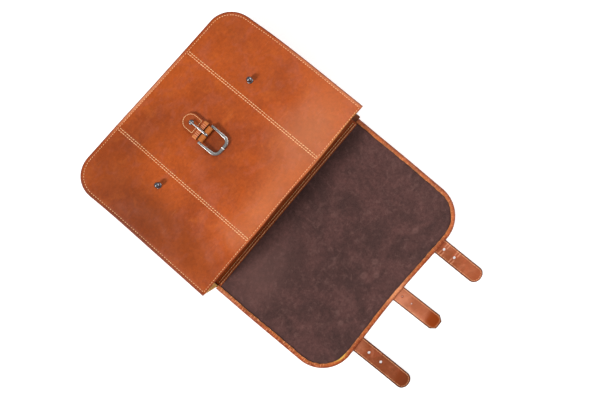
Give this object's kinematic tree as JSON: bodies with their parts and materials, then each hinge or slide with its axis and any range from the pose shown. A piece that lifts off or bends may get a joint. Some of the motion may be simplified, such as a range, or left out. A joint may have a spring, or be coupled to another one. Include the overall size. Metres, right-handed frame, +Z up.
{
  "type": "leather bag",
  "caption": "Open leather satchel lying on its back: boxy hollow body with out-turned seams, suede-lined flap with a rolled edge, strap ends, ball studs and a tongue buckle.",
  "frame": {"origin": "middle of the footprint, on the floor that the bag lies on", "axes": "+Z up from the floor, out of the front; +Y towards the bag's bottom, -Y out of the mouth and along the open flap; +X across the bag"},
  "size_m": [0.389, 0.6464, 0.099],
  "materials": {
    "tan_leather": "polished tan hide with cream topstitching",
    "ochre_leather": "tan outside, ochre flesh side within",
    "edge_leather": "thin glossy tan leather, rolled and wrinkled",
    "strap_leather": "waxed tan strap leather with dark painted edges",
    "dark_suede": "dark brown brushed suede",
    "nickel": "polished nickel plate",
    "gunmetal": "dark polished nickel"
  },
  "bodies": {
    "bag": {"front_panel": "tan_leather", "back_panel": "tan_leather", "gusset": "ochre_leather", "hinge_band": "tan_leather", "flap_outer": "tan_leather", "flap_lining": "dark_suede", "flap_binding": "edge_leather", "strap_left": "strap_leather", "strap_centre": "strap_leather", "strap_right": "strap_leather", "stud_left": "gunmetal", "stud_right": "gunmetal", "buckle_chape": "tan_leather", "buckle_keeper": "tan_leather", "chape_rivet": "gunmetal"},
    "buckle": {"buckle_frame": "nickel"},
    "prong": {"buckle_prong": "nickel"}
  },
  "joints": [
    {"name": "buckle_swing", "type": "hinge", "parent": "bag", "child": "buckle", "pos_m": [0.00197, 0.19927, 0.09443], "axis": [-1, 0, 0.0006], "range_deg": [0, 170]},
    {"name": "prong_swing", "type": "hinge", "parent": "bag", "child": "prong", "pos_m": [0.00197, 0.19927, 0.09443], "axis": [1, 0, -0.0006], "range_deg": [0, 175]}
  ]
}
